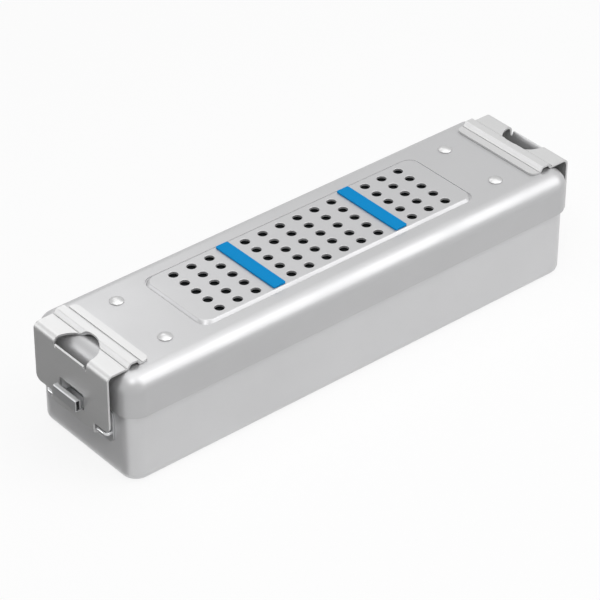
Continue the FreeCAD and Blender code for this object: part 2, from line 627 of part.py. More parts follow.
def make_wire():
    """Round wire bent to a staple: the long run is the hinge pin, the legs meet the bracket."""
    body = new_body("hinge_wire_right")
    path = new_sketch(body, "path", offset=HINGE_Z)
    side, knee = f"({BRACKET_SIDE} - wire_inset)", f"({HINGE_X} - wire_bend)"
    short = f"({side} - wire_bend)"
    runs = (((BRACKET_OUT, "-" + side), (knee, "-" + side)),
            ((HINGE_X, "-" + short), (HINGE_X, short)),
            ((knee, side), (BRACKET_OUT, side)))
    lines = []
    for ends in runs:
        places = [FreeCAD.Vector(value_of(x), value_of(y), 0) for x, y in ends]
        lines.append(path.addGeometry(Part.LineSegment(*places), False))
        place_point(path, lines[-1], START, *ends[0])
        place_point(path, lines[-1], END, *ends[1])
    for before, after, first_angle, level in ((lines[0], lines[1], -90, "-" + short),
                                              (lines[1], lines[2], 0, short)):
        centre = FreeCAD.Vector(value_of(knee), value_of(level), 0)
        circle = Part.Circle(centre, FreeCAD.Vector(0, 0, 1), value_of("wire_bend"))
        arc = Part.ArcOfCircle(circle, math.radians(first_angle), math.radians(first_angle + 90))
        bend = path.addGeometry(arc, False)
        path.addConstraint(Sketcher.Constraint("Coincident", before, END, bend, START))
        path.addConstraint(Sketcher.Constraint("Coincident", bend, END, after, START))
        bind(path, ("DistanceX", ORIGIN, START, bend, CENTRE), knee)
    profile = new_sketch(body, "profile", "YZ_Plane", BRACKET_OUT)
    draw_circle(profile, "-" + side, HINGE_Z, "wire")
    add_feature(body, "AdditivePipe", "staple", Profile=profile, Spine=(path, []))
    return body


def make_eye():
    """Folded strip whose end is a flat tube, for the tamper-evident seal."""
    body = new_body("seal_eye_right")
    section = new_sketch(body, "section", "XZ_Plane")
    foot_out, web_top = f"({BRACKET_OUT} + eye_sheet)", f"({EYE_LOW} + eye_sheet)"
    foot_low = f"({EYE_LOW} - eye_foot)"
    draw_polygon(section, ((BRACKET_OUT, foot_low), (foot_out, foot_low), (foot_out, EYE_LOW),
                           (EYE_FRONT, EYE_LOW), (EYE_FRONT, EYE_HIGH), (EYE_BACK, EYE_HIGH),
                           (EYE_BACK, web_top), (BRACKET_OUT, web_top)))
    draw_box(section, f"({EYE_BACK} + eye_sheet)", f"({EYE_FRONT} - eye_sheet)", web_top,
             f"({EYE_HIGH} - eye_sheet)")
    pad(body, section, "eye_length", "strip", centred=True)
    fillet(body, "eye_sheet", "round", lambda point: near(point.x, EYE_FRONT)
           and (near(point.z, EYE_LOW) or near(point.z, EYE_HIGH)))
    return body


def make_latch():
    """Formed steel latch: rolled on the hinge wire, bent over the lid's edge, stiffened by a
    bead and opened by a finger window with a pull lip."""
    body = new_body("latch_plate_right")
    bead_in, bead_out = "(lid_length / 2 - bead_in)", "(lid_length / 2 - bead_out)"
    lip_in = "(lid_length / 2 - lip_reach)"
    # The sheet's underside turns this much later than its top at each foot of the bead.
    turn_in = "(steel * tan(atan(bead_rise / bead_slope) / 2))"
    crest, under = f"({LATCH_TOP} + bead_rise)", f"({LATCH_LOW} + bead_rise)"
    section = new_sketch(body, "section", "XZ_Plane")
    draw_polygon(section, ((PLATE_IN, WING_LOW), (PLATE_OUT, WING_LOW), (PLATE_OUT, LATCH_TOP),
                           (bead_out, LATCH_TOP), (f"({bead_out} - bead_slope)", crest),
                           (f"({bead_in} + bead_slope)", crest), (bead_in, LATCH_TOP),
                           (lip_in, LATCH_TOP), (lip_in, LATCH_LOW),
                           (f"({bead_in} + {turn_in})", LATCH_LOW),
                           (f"({bead_in} + bead_slope + {turn_in})", under),
                           (f"({bead_out} - bead_slope - {turn_in})", under),
                           (f"({bead_out} - {turn_in})", LATCH_LOW), (PLATE_IN, LATCH_LOW)))
    pad(body, section, f"2 * {LATCH_SIDE}", "sheet", centred=True)
    fillet(body, "latch_bend + steel", "outer_bend",
           lambda point: near(point.x, PLATE_OUT) and near(point.z, LATCH_TOP))
    fillet(body, "latch_bend", "inner_bend",
           lambda point: near(point.x, PLATE_IN) and near(point.z, LATCH_LOW))
    fillet(body, "latch_corner", "wing_corners",
           lambda point: near(abs(point.y), LATCH_SIDE) and near(point.z, WING_LOW))
    fillet(body, "latch_corner", "lip_corners",
           lambda point: near(abs(point.y), LATCH_SIDE) and near(point.x, lip_in))
    shoulders = (f"({bead_out} - bead_slope)", f"({bead_in} + bead_slope)")
    fillet(body, "bead_round", "bead_edges",
           lambda point: near(point.z, crest) and any(near(point.x, x) for x in shoulders))
    tongue = new_sketch(body, "tongue_outline", "YZ_Plane", PLATE_IN)
    draw_box(tongue, "(-knuckle_length / 2)", "(knuckle_length / 2)", HINGE_Z, WING_LOW)
    pad(body, tongue, "steel", "tongue")
    roll = new_sketch(body, "knuckle_section", offset=HINGE_Z, shift=(HINGE_X, "0"))
    draw_box(roll, KNUCKLE_IN, f"({KNUCKLE_IN} + steel)", "(-knuckle_length / 2)",
             "(knuckle_length / 2)")
    turn(body, roll, V_AXIS, "knuckle_turn", "knuckle")
    window = new_sketch(body, "window_outline", offset=PULL_ROOT)
    draw_circle(window, f"({PLATE_OUT} - window_in)", "0", "window_size")
    pocket(body, window, "lid_edge", "window", reverse=True)
    lip = new_sketch(body, "pull_section", offset=PULL_ROOT,
                     shift=(f"({PLATE_OUT} + pull_bend)", "0"))
    pull_side = "(window_size / 2 - pull_gap)"
    draw_box(lip, "(-pull_bend - steel)", "(-pull_bend)", "-" + pull_side, pull_side)
    turn(body, lip, V_AXIS, "pull_turn", "pull_lip")
    middle = f"(({SLOT_LOW} + {SLOT_HIGH}) / 2)"
    slot = new_sketch(body, "slot_outline", "YZ_Plane", PLATE_OUT, ("0", middle))
    draw_rounded(slot, "(eye_length / 2 + eye_room)", f"(({SLOT_HIGH} - {SLOT_LOW}) / 2)",
                 "slot_corner")
    pocket(body, slot, "4 * steel", "slot", centred=True)
    return body


def write_parts(pieces):
    """Check every object and write each piece to its own file."""
    doc.recompute()
    for item in doc.Objects:
        if "Invalid" in item.State or "Error" in item.State:
            raise RuntimeError("%s is %s" % (item.Label, item.State))
    os.makedirs("parts", exist_ok=True)
    for piece in pieces:
        if piece.Shape.isNull() or not piece.Shape.isValid():
            raise RuntimeError(piece.Label + " has no valid shape")
        piece.Shape.exportStep("parts/%s.step" % piece.Label)
        print(piece.Label, len(piece.Shape.Solids), round(piece.Shape.Volume, 2))


pieces = []
for make in (make_tub, make_lid, make_gasket, make_frame, make_filter, make_cover):
    pieces.append(make())
for make in (make_strip, make_clip, make_clip_rivets, make_bracket, make_bracket_rivets,
             make_wire, make_eye, make_latch):
    drawn = make()
    pieces.append(drawn)
    pieces.append(mirror_pair(drawn, drawn.Label.replace("_right", "_left")))
write_parts(pieces)
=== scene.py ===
"""A small perforated sterilization container, finished and set up for a studio picture."""

import json
import math

import bmesh
import bpy
from bpy.props import FloatProperty, FloatVectorProperty, PointerProperty
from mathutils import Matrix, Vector


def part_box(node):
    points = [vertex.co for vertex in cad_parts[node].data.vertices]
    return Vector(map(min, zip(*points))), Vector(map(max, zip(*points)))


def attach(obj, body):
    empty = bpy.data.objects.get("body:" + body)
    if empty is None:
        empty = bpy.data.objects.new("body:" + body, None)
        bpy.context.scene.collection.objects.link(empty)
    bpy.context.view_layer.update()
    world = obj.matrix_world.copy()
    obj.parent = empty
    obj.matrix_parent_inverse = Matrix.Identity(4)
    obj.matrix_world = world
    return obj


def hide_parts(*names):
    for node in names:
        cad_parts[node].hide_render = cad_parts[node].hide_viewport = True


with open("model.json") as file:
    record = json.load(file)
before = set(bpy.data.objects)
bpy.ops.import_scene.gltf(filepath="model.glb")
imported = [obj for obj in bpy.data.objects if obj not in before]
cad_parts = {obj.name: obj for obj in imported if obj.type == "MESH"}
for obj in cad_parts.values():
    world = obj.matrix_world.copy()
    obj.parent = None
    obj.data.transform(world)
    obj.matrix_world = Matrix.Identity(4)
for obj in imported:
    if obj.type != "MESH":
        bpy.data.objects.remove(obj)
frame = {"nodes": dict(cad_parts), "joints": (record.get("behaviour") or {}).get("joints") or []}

bl_info = {
    "name": "Sterilization container",
    "version": (1, 0, 0),
    "blender": (4, 5, 0),
    "location": "3D View > Sidebar > Container",
    "description": "Models and finishes a small perforated sterilization container",
    "category": "Object",
}

MM = 0.001
NODES = frame["nodes"]

# Places that the solids give, in metres. +X is the far end, -Y the long front, +Z up.
TUB_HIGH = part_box("base_tub")[1]
LID_LOW, LID_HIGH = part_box("lid_shell")
STRIP_LOW, STRIP_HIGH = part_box("colour_strip_right")
RIVET_LOW, RIVET_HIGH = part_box("clip_rivets_right")
BRACKET_LOW, BRACKET_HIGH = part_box("latch_bracket_right")
STUD_LOW, STUD_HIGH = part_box("bracket_rivets_right")
WIRE_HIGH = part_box("hinge_wire_right")[1]
EYE_LOW, EYE_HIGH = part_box("seal_eye_right")
LATCH_LOW, LATCH_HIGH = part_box("latch_plate_right")
HINGE = Vector(
    next(joint["pos_m"] for joint in frame["joints"] if joint["name"] == "latch_right_swing")
)

# The steam holes stand on a grid, without the columns that the marking strips cover.
HOLE_PITCH_X, HOLE_PITCH_Y = 10 * MM, 8 * MM
HOLE_COLUMNS = [
    (number + 0.5) * HOLE_PITCH_X for number in range(-7, 7) if number not in (-4, 3)
]
HOLE_ROWS = [number * HOLE_PITCH_Y for number in range(-2, 3)]

# Two lengths that differ by less than this are the same.
SAME = 0.02 * MM
# How far a pick reaches past the edges or faces that it wants.
SLACK = 0.1 * MM
# How much of an edge's run, and of a face's normal, has to lie along an axis.
ALONG_AXIS, SQUARE_TO_AXIS = 0.99, 0.99999
# The turn that makes a sheet or disc face the far end.
FACING_END = (0.0, math.pi / 2, 0.0)


def linear(hex_colour):
    """An sRGB hex colour as linear red, green, blue and alpha."""
    channels = [int(hex_colour[i : i + 2], 16) / 255 for i in (1, 3, 5)]
    return [
        c / 12.92 if c <= 0.04045 else ((c + 0.055) / 1.055) ** 2.4 for c in channels
    ] + [1.0]


def length(name, description, millimetres):
    """A length in the sidebar, held in metres."""
    return FloatProperty(
        name=name, description=description, default=millimetres * MM, unit="LENGTH"
    )


def colour(name, description, hex_colour):
    """A colour in the sidebar, held as linear values."""
    return FloatVectorProperty(
        name=name, description=description, default=linear(hex_colour), size=4, subtype="COLOR"
    )


class ContainerSheet(bpy.types.PropertyGroup):
    """Sizes of the drawn tub and lid"""

    wall: length("Wall", "Thickness of the aluminium sheet", 1.2)
    tub_corner: length("Tub corner", "Radius of the tub's upright corners", 7.9)
    tub_foot: length("Tub foot", "Radius along the tub's foot", 4.0)
    lid_corner: length("Lid corner", "Radius of the lid's upright corners", 9.5)
    lid_edge: length("Lid edge", "Radius where the lid's top turns down into its skirt", 8.0)
    panel_length: length("Panel length", "Length of the raised panel's crest", 154.0)
    panel_width: length("Panel width", "Width of the raised panel's crest", 41.8)
    panel_rise: length("Panel rise", "How far the panel stands above the lid's top", 1.1)
    panel_slope: length("Panel slope", "Width of the panel's sloping side", 1.1)
    panel_corner: length("Panel corner", "Radius of the panel's corners at its crest", 4.0)
    hole_radius: length("Hole radius", "Radius of a steam hole", 2.25)


class ContainerLatch(bpy.types.PropertyGroup):
    """Sizes of the formed latch plates"""

    steel: length("Steel", "Thickness of the steel sheet", 1.0)
    bend: length("Bend", "Outer radius of the bend over the lid's edge", 3.0)
    corner: length("Corner", "Radius of the plate's corners, on the wings and on the lid", 3.0)
    wing_edge: length("Wing edge", "How far the wings' lower edge stands above the hinge", 4.1)
    knuckle_width: length("Knuckle width", "Length of the knuckle rolled round the wire", 29.4)
    bead_inner: length("Bead inner foot", "From the lid's end in to the bead's inner foot", 13.5)
    bead_outer: length("Bead outer foot", "From the lid's end in to the bead's outer foot", 6.7)
    bead_rise: length("Bead rise", "Height of the stiffening bead", 1.9)
    bead_slope: length("Bead slope", "Width of the bead's sloping side", 1.3)
    window_radius: length("Window radius", "Radius of the finger window", 11.5)
    pull_side: length("Pull lip side", "Half the width of the pull lip", 10.2)
    pull_bend: length("Pull lip bend", "Radius inside the bend of the pull lip", 2.5)
    pull_turn: FloatProperty(
        name="Pull lip turn",
        description="How far the pull lip is bent out",
        default=math.radians(45.0),
        subtype="ANGLE",
    )


class ContainerFittings(bpy.types.PropertyGroup):
    """Sizes of the strips, rivets, brackets, wires and seal eyes"""

    strip_corner: length("Strip corner", "Radius of a marking strip's corners", 0.8)
    rivet_head: length("Lid rivet head", "Radius of a lid rivet's head", 3.3)
    stud_head: length("Bracket rivet head", "Radius of a bracket rivet's head", 2.2)
    bracket_corner: length("Bracket corner", "Radius of a bracket's corners", 3.5)
    wire_bend: length("Wire bend", "Radius of the wire's bends along its middle", 1.6)
    eye_sheet: length("Eye sheet", "Thickness of the strip that a seal eye is folded from", 0.6)


class ContainerColours(bpy.types.PropertyGroup):
    """Colours of the container's finishes"""

    tub: colour("Tub", "Clear anodised sheet of the tub", "#D1D1D2")
    lid: colour("Lid", "Clear anodised sheet of the lid", "#BFBFC0")
    latch: colour("Latches", "Brushed spring steel of the latches", "#C9C9C9")
    fittings: colour("Fittings", "Stainless steel of brackets, seal eyes and clips", "#C6C7C8")
    wire: colour("Wires", "Drawn steel wire of the hinges", "#D0D1D2")
    rivet: colour("Rivets", "Bright aluminium of the rivets", "#BEBEBE")
    strips: colour("Strips", "Blue polypropylene of the marking strips", "#0A8CCD")
    rubber: colour("Seal", "Silicone rubber of the lid's seal", "#C9CBCB")
    fleece: colour("Filter", "Dark fleece of the filter sheet", "#26282A")


def near(a, b):
    """Whether two lengths are the same."""
    return abs(a - b) < SAME


def put_down():
    """Leaves edit mode and selects nothing."""
    if bpy.context.mode != "OBJECT":
        bpy.ops.object.mode_set(mode="OBJECT")
    bpy.ops.object.select_all(action="DESELECT")


def take_up(piece, editing=False):
    """Makes the piece the only one selected, and opens it in edit mode if asked."""
    put_down()
    piece.select_set(True)
    bpy.context.view_layer.objects.active = piece
    if editing:
        bpy.ops.object.mode_set(mode="EDIT")


def open_new(name):
    """Names the primitive just added, fixes its place and opens it in edit mode."""
    piece = bpy.context.object
    piece.name = name
    piece.data.name = name
    bpy.ops.object.transform_apply(location=True, rotation=True, scale=True)
    bpy.ops.object.mode_set(mode="EDIT")
    return piece


def add_block(name, low, high):
    """Adds a block between two corners, in edit mode."""
    put_down()
    middle = [(a + b) / 2 for a, b in zip(low, high)]
    size = [b - a for a, b in zip(low, high)]
    bpy.ops.mesh.primitive_cube_add(size=1.0, location=middle, scale=size)
    return open_new(name)


def add_sheet(name, centre, width, depth, turn=(0.0, 0.0, 0.0)):
    """Adds a flat sheet, in edit mode."""
    put_down()
    bpy.ops.mesh.primitive_plane_add(size=1.0, location=centre, rotation=turn)
    bpy.context.object.scale = (width, depth, 1.0)
    return open_new(name)


def add_disc(name, centre, radius, sides, turn=(0.0, 0.0, 0.0)):
    """Adds a filled disc, in edit mode."""
    put_down()
    bpy.ops.mesh.primitive_circle_add(
        vertices=sides, radius=radius, fill_type="NGON", location=centre, rotation=turn
    )
    return open_new(name)


def add_rod(name, centre, radius, length, sides):
    """Adds a closed upright rod, in edit mode."""
    put_down()
    bpy.ops.mesh.primitive_cylinder_add(
        vertices=sides, radius=radius, depth=length, location=centre
    )
    return open_new(name)


def pick_all():
    """Selects all of the piece that is open in edit mode."""
    bpy.ops.mesh.select_all(action="SELECT")


def pick(kind, test, along=None):
    """Selects the vertices, edges or faces that pass the test at all their corners, and edges
    only where they run along the given axis."""
    bpy.ops.mesh.select_mode(type=kind)
    bpy.ops.mesh.select_all(action="DESELECT")
    mesh = bmesh.from_edit_mesh(bpy.context.edit_object.data)
    groups = {"VERT": mesh.verts, "EDGE": mesh.edges, "FACE": mesh.faces}
    count = 0
    for item in groups[kind]:
        corners = [item] if kind == "VERT" else list(item.verts)
        if not all(test(*corner.co) for corner in corners):
            continue
        if along is not None:
            run = (corners[1].co - corners[0].co).normalized()
            if abs(run[along]) < ALONG_AXIS:
                continue
        item.select_set(True)
        count += 1
    bmesh.update_edit_mesh(bpy.context.edit_object.data)
    if count == 0:
        raise RuntimeError("nothing to shape on " + bpy.context.edit_object.name)


def round_off(radius, segments, affect="EDGES"):
    """Bevels the selected edges or corners round."""
    bpy.ops.mesh.bevel(
        offset=radius, segments=segments, profile=0.5, affect=affect, clamp_overlap=False
    )


def draw_out(x, y, z):
    """Extrudes the selection by a step."""
    bpy.ops.mesh.extrude_region_move(TRANSFORM_OT_translate={"value": (x, y, z)})


def draw_to(step, scale, centre):
    """Extrudes the selection by a step and scales what is new about a centre."""
    draw_out(*step)
    bpy.ops.transform.resize(value=scale, center_override=centre)


def step_round(ratio, centre, axes=(0, 1)):
    """Extrudes the selection in place and scales it about a centre, which leaves a flat ring."""
    draw_to((0.0, 0.0, 0.0), [ratio if axis in axes else 1.0 for axis in range(3)], centre)


def raise_dome(centre, radius, rise, axis, rings):
    """Draws a round face up along an axis into a shallow dome."""
    ball = (radius * radius + rise * rise) / (2 * rise)
    level, width = 0.0, radius
    for ring in range(1, rings + 1):
        angle = math.asin(radius / ball) * (1 - ring / (rings + 1))
        new_level = rise - ball * (1 - math.cos(angle))
        new_width = ball * math.sin(angle)
        step = [0.0, 0.0, 0.0]
        step[axis] = new_level - level
        scale = [new_width / width] * 3
        scale[axis] = 1.0
        draw_to(step, scale, centre)
        level, width = new_level, new_width


def copy_on(step):
    """Copies the selection and moves the copy on by a step."""
    bpy.ops.mesh.duplicate()
    bpy.ops.transform.translate(value=step)


def apply_modifier(piece, kind, **settings):
    """Adds a modifier, sets it and applies it."""
    take_up(piece)
    modifier = piece.modifiers.new(kind.lower(), kind)
    for key, value in settings.items():
        setattr(modifier, key, value)
    bpy.ops.object.modifier_apply(modifier=modifier.name)


def thicken(piece, thickness, offset=-1.0):
    """Gives a sheet its thickness, behind its face unless told otherwise."""
    apply_modifier(
        piece,
        "SOLIDIFY",
        thickness=thickness,
        offset=offset,
        use_even_offset=True,
        use_quality_normals=True,
    )


def cut_out(piece, tool):
    """Cuts the tool's shape out of the piece and removes the tool."""
    apply_modifier(piece, "BOOLEAN", object=tool, operation="DIFFERENCE", solver="EXACT")
    bpy.data.objects.remove(tool)


def turn_outwards(piece):
    """Merges doubles and makes all faces of a closed piece face outwards."""
    take_up(piece, editing=True)
    pick_all()
    bpy.ops.mesh.remove_doubles(threshold=0.002 * MM)
    bpy.ops.mesh.normals_make_consistent(inside=False)
    bpy.ops.object.mode_set(mode="OBJECT")


def face_out(piece, test, axis):
    """Makes all faces of an open sheet agree, so that the picked ones face along the axis."""
    turn_outwards(piece)
    towards = sum(
        face.normal[axis] * face.area for face in piece.data.polygons if test(*face.center)
    )
    if towards < 0.0:
        take_up(piece, editing=True)
        pick_all()
        bpy.ops.mesh.flip_normals()
        put_down()


def grade_faces(piece):
    """Marks the faces that lie square to the frame as strong, so that rounds run into them
    smoothly."""
    take_up(piece, editing=True)
    bpy.ops.mesh.select_mode(type="FACE")
    pick_all()
    bpy.ops.mesh.mod_weighted_strength(set=True, face_strength="WEAK")
    bpy.ops.mesh.select_all(action="DESELECT")
    mesh = bmesh.from_edit_mesh(piece.data)
    for face in mesh.faces:
        face.select_set(max(abs(part) for part in face.normal) > SQUARE_TO_AXIS)
    bmesh.update_edit_mesh(piece.data)
    bpy.ops.mesh.mod_weighted_strength(set=True, face_strength="STRONG")
    put_down()


def soften(piece, radius, segments=2, flats=False):
    """Takes the sharpness off every edge and shades the piece smoothly, and keeps its flats
    dead flat if asked."""
    limit = math.radians(35.0)
    if radius:
        apply_modifier(
            piece,
            "BEVEL",
            width=radius,
            segments=segments,
            limit_method="ANGLE",
            angle_limit=limit,
            use_clamp_overlap=True,
        )
    take_up(piece)
    bpy.ops.object.shade_smooth_by_angle(angle=limit)
    if flats:
        grade_faces(piece)
    apply_modifier(piece, "WEIGHTED_NORMAL", keep_sharp=True, use_face_influence=flats)


def other_end(piece):
    """A copy with its own mesh, turned half round to the near end and named for it."""
    take_up(piece)
    bpy.ops.object.duplicate(linked=False)
    copy = bpy.context.object
    copy.name = piece.name.replace("_right", "_left")
    copy.data.name = copy.name
    bpy.ops.transform.rotate(value=math.pi, orient_axis="Z", center_override=(0.0, 0.0, 0.0))
    bpy.ops.object.transform_apply(location=True, rotation=True, scale=True)
    return copy


def hand_over(piece, body, look, node):
    """Finishes a piece: its material, its body, its slot and the node it stands for."""
    piece.data.materials.clear()
    piece.data.materials.append(finish(look))
    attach(piece, body)
    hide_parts(node)


def hand_over_both(piece, bodies, look, node):
    """Copies a piece of the far end to the near end and finishes both."""
    pair = (piece, other_end(piece))
    for each, body, end in zip(pair, bodies, ("_right", "_left")):
        hand_over(each, body, look, node + end)


def add_node(tree, kind, settings=None, links=None):
    """Adds a node, sets its attributes and input values, and links its inputs."""
    node = tree.nodes.new(kind)
    for key, value in (settings or {}).items():
        if isinstance(key, str) and hasattr(node, key):
            setattr(node, key, value)
        else:
            node.inputs[key].default_value = value
    for key, source in (links or {}).items():
        tree.links.new(source, node.inputs[key])
    return node


def new_material(name):
    """A material with an empty tree but for its output."""
    material = bpy.data.materials.new(name)
    material.use_nodes = True
    tree = material.node_tree
    tree.nodes.clear()
    output = tree.nodes.new("ShaderNodeOutputMaterial")
    return material, tree, output


def anodised_sheet(name, colour):
    """Drawn aluminium sheet, etched matt and clear anodised: a soft silver with no grain
    direction, a little uneven in tone and shine where it was drawn and handled."""
    material, tree, output = new_material(name)
    place = add_node(tree, "ShaderNodeTexCoord").outputs["Object"]
    # The etch leaves pits of about 0.1 mm, drawn at 0.4 mm so that they show.
    etch = add_node(
        tree, "ShaderNodeTexNoise", {"Scale": 1 / (0.4 * MM), "Detail": 2.0}, {"Vector": place}
    )
    # Drawing and handling leave cloudy patches about 30 mm across.
    cloud = add_node(
        tree, "ShaderNodeTexNoise", {"Scale": 1 / (30 * MM), "Detail": 4.0}, {"Vector": place}
    )
    shine = add_node(
        tree,
        "ShaderNodeMapRange",
        {"From Min": 0.35, "From Max": 0.65, "To Min": 0.34, "To Max": 0.42},
        {"Value": cloud.outputs["Fac"]},
    )
    duller = [part * 0.94 for part in colour[:3]] + [1.0]
    tone = add_node(
        tree,
        "ShaderNodeMix",
        {"data_type": "RGBA", "blend_type": "MIX", 6: colour, 7: duller},
        {0: cloud.outputs["Fac"]},
    )
    bump = add_node(
        tree,
        "ShaderNodeBump",
        {"Strength": 0.12, "Distance": 0.04 * MM},
        {"Height": etch.outputs["Fac"]},
    )
    # The clear oxide over the metal takes away about half of the metal's own shine.
    shader = add_node(
        tree,
        "ShaderNodeBsdfPrincipled",
        {"Metallic": 0.5},
        {
            "Base Color": tone.outputs[2],
            "Roughness": shine.outputs["Result"],
            "Normal": bump.outputs["Normal"],
        },
    )
    tree.links.new(shader.outputs["BSDF"], output.inputs["Surface"])
    return material


def brushed_steel(name, colour, roughness, grain_length, metallic):
    """Metal with a fine grain along Y: a cooler, clearer shine than the anodised sheet's."""
    material, tree, output = new_material(name)
    place = add_node(tree, "ShaderNodeTexCoord").outputs["Object"]
    # Grit lines about 0.15 mm wide, drawn at 0.3 mm so that they show.
    grit = 0.3 * MM
    along = add_node(
        tree, "ShaderNodeMapping", {"Scale": (1.0, grit / grain_length, 1.0)}, {"Vector": place}
    )
    grain = add_node(
        tree,
        "ShaderNodeTexNoise",
        {"Scale": 1 / grit, "Detail": 2.0},
        {"Vector": along.outputs["Vector"]},
    )
    spread = 0.05
    shine = add_node(
        tree,
        "ShaderNodeMapRange",
        {
            "From Min": 0.3,
            "From Max": 0.7,
            "To Min": roughness - spread,
            "To Max": roughness + spread,
        },
        {"Value": grain.outputs["Fac"]},
    )
    bump = add_node(
        tree,
        "ShaderNodeBump",
        {"Strength": 0.1, "Distance": 0.03 * MM},
        {"Height": grain.outputs["Fac"]},
    )
    shader = add_node(
        tree,
        "ShaderNodeBsdfPrincipled",
        {"Base Color": colour, "Metallic": metallic},
        {"Roughness": shine.outputs["Result"], "Normal": bump.outputs["Normal"]},
    )
    tree.links.new(shader.outputs["BSDF"], output.inputs["Surface"])
    return material


def moulded_skin(name, colour, roughness, shine):
    """Moulded plastic, rubber or pressed fleece: an even colour broken by fine pits."""
    material, tree, output = new_material(name)
    place = add_node(tree, "ShaderNodeTexCoord").outputs["Object"]
    # A spark-eroded mould leaves pits of about 0.1 mm, drawn at 0.3 mm.
    pits = add_node(
        tree, "ShaderNodeTexNoise", {"Scale": 1 / (0.3 * MM), "Detail": 2.0}, {"Vector": place}
    )
    bump = add_node(
        tree,
        "ShaderNodeBump",
        {"Strength": 0.1, "Distance": 0.04 * MM},
        {"Height": pits.outputs["Fac"]},
    )
    shader = add_node(
        tree,
        "ShaderNodeBsdfPrincipled",
        {"Base Color": colour, "Roughness": roughness, "IOR": 1.46, "Specular IOR Level": shine},
        {"Normal": bump.outputs["Normal"]},
    )
    tree.links.new(shader.outputs["BSDF"], output.inputs["Surface"])
    return material


# How each finish is made: its function, its colour in the sidebar, and then for metals the
# roughness, the length of the grain and how metallic it is, and for the others the roughness
# and the specular level, which is under the usual 0.5 because all three are dull.
FINISHES = {
    "anodised_tub_sheet": (anodised_sheet, "tub"),
    "anodised_lid_sheet": (anodised_sheet, "lid"),
    "brushed_latch_steel": (brushed_steel, "latch", 0.42, 10 * MM, 0.7),
    "stainless_fittings": (brushed_steel, "fittings", 0.34, 10 * MM, 0.9),
    "drawn_steel_wire": (brushed_steel, "wire", 0.25, 3 * MM, 1.0),
    "bright_rivet_aluminium": (brushed_steel, "rivet", 0.36, 0.3 * MM, 0.8),
    "blue_polypropylene": (moulded_skin, "strips", 0.5, 0.06),
    "silicone_rubber": (moulded_skin, "rubber", 0.6, 0.4),
    "filter_fleece": (moulded_skin, "fleece", 0.9, 0.2),
}
MADE = {}


def finish(name):
    """The named material, made the first time that it is asked for."""
    if name not in MADE:
        make, colour, *settings = FINISHES[name]
        colours = bpy.context.scene.container_colours
        MADE[name] = make(name, list(getattr(colours, colour)), *settings)
    return MADE[name]


class CONTAINER_OT_tub(bpy.types.Operator):
    """Draw the deep tub with its rounded foot and plain upright rim"""

    bl_idname = "container.tub"
    bl_label = "Tub"

    edge = 0.25 * MM

    def execute(self, context):
        sizes = context.scene.container_sheet
        end, side, rim = TUB_HIGH
        tub = add_block("tub", (-end, -side, 0.0), (end, side, rim))
        pick("FACE", lambda x, y, z: near(z, rim))
        bpy.ops.mesh.delete(type="ONLY_FACE")
        pick("EDGE", lambda x, y, z: True, along=2)
        round_off(sizes.tub_corner, 12)
        pick("EDGE", lambda x, y, z: near(z, 0.0))
        round_off(sizes.tub_foot, 8)
        thicken(tub, sizes.wall)
        soften(tub, self.edge, flats=True)
        hand_over(tub, "base", "anodised_tub_sheet", "base_tub")
        return {"FINISHED"}


